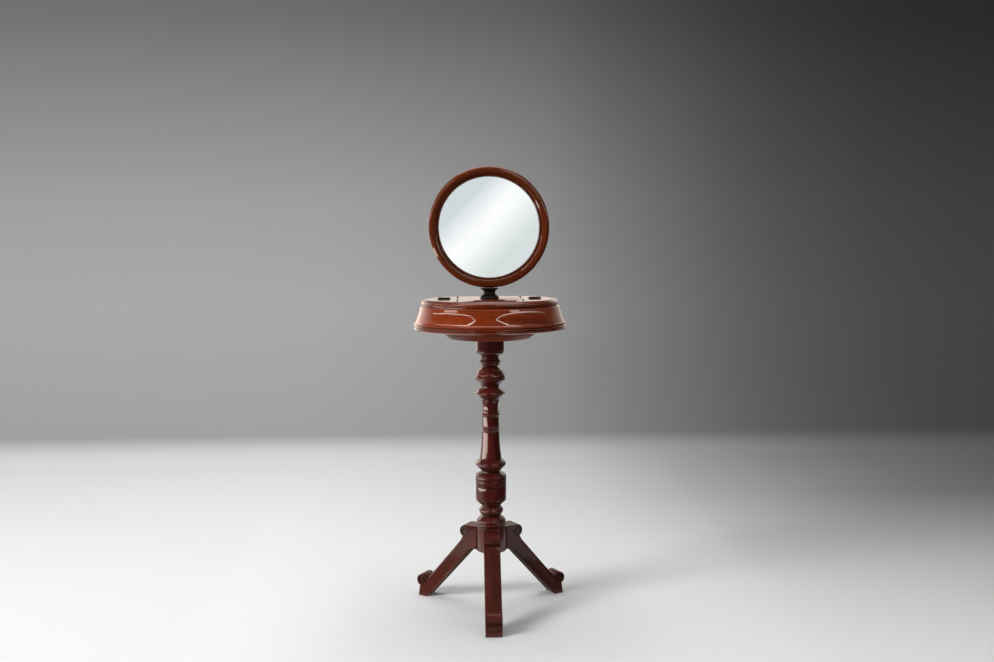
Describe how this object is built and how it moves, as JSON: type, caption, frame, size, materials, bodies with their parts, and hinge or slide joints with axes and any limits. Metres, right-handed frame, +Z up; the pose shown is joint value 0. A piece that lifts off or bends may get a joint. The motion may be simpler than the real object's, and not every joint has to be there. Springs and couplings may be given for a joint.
{
  "type": "vanity mirror",
  "caption": "Pedestal vanity mirror: round bevelled glass that rises, swivels and tilts above a moulded drum with lidded wells, on a turned pillar with scroll legs.",
  "frame": {"origin": "on the floor, on the axis of the pillar", "axes": "+Z up along the pillar, the mirror's face and the front leg towards -Y, +X to the right of someone who faces the mirror"},
  "size_m": [0.4696, 0.487, 1.341],
  "materials": {
    "mahogany": "french polished, red-brown",
    "mahogany_pillar": "french polished, dark red-brown",
    "mahogany_legs": "waxed, dark red-brown",
    "mahogany_ring": "french polished, red-brown",
    "secondary_wood": "planed, unpolished",
    "ebonised_wood": "stained black and polished",
    "brass": "aged, lacquered",
    "iron": "blackened",
    "silvered_glass": "silvered behind, bevelled edge"
  },
  "bodies": {
    "stand": {"leg_front": "mahogany_legs", "leg_right": "mahogany_legs", "leg_left": "mahogany_legs", "leg_brace": "iron", "brace_screws": "iron", "pillar_foot": "mahogany_pillar", "pillar_shaft": "mahogany_pillar", "pillar_capital": "mahogany_pillar", "drum_boss": "mahogany", "boss_screws": "brass", "drum_floor": "secondary_wood", "floor_screws": "brass", "base_moulding": "mahogany", "frieze_ring": "mahogany", "centre_block": "secondary_wood", "partition_left": "secondary_wood", "partition_right": "secondary_wood", "top_board": "mahogany", "hinge_leaves_left": "brass", "hinge_leaves_right": "brass", "neck_socket": "ebonised_wood", "post_bush": "brass"},
    "post": {"mirror_post": "brass", "post_collar": "iron", "swivel_screw": "brass"},
    "clamp": {"clamp_screw": "brass"},
    "swivel": {"swivel_saddle": "ebonised_wood", "tilt_bracket": "brass", "tilt_pin": "brass", "tilt_nut": "brass"},
    "mirror": {"mirror_frame": "mahogany_ring", "mirror_glass": "silvered_glass", "back_board": "mahogany_ring", "back_screws": "brass", "frame_strap": "brass", "strap_screws": "brass"},
    "left_lid": {"lid_left": "mahogany", "pull_left": "ebonised_wood", "lid_leaves_left": "brass", "hinge_pins_left": "brass"},
    "right_lid": {"lid_right": "mahogany", "pull_right": "ebonised_wood", "lid_leaves_right": "brass", "hinge_pins_right": "brass"}
  },
  "joints": [
    {"name": "post_lift", "type": "slide", "parent": "stand", "child": "post", "axis": [0, 0, 1], "range_m": [0, 0.22]},
    {"name": "clamp_turn", "type": "hinge", "parent": "stand", "child": "clamp", "pos_m": [0, 0.03, 0.9595], "axis": [0, 1, 0], "range_deg": [-90, 0]},
    {"name": "mirror_swivel", "type": "hinge", "parent": "post", "child": "swivel", "pos_m": [0, 0, 0.968], "axis": [0, 0, 1], "continuous": true},
    {"name": "mirror_tilt", "type": "hinge", "parent": "swivel", "child": "mirror", "pos_m": [0, 0.019, 0.9885], "axis": [1, 0, 0], "range_deg": [-40, 4]},
    {"name": "lid_left_hinge", "type": "hinge", "parent": "stand", "child": "left_lid", "pos_m": [-0.096, 0, 0.948], "axis": [0, 1, 0], "range_deg": [0, 48]},
    {"name": "lid_right_hinge", "type": "hinge", "parent": "stand", "child": "right_lid", "pos_m": [0.096, 0, 0.948], "axis": [0, -1, 0], "range_deg": [0, 48]}
  ]
}
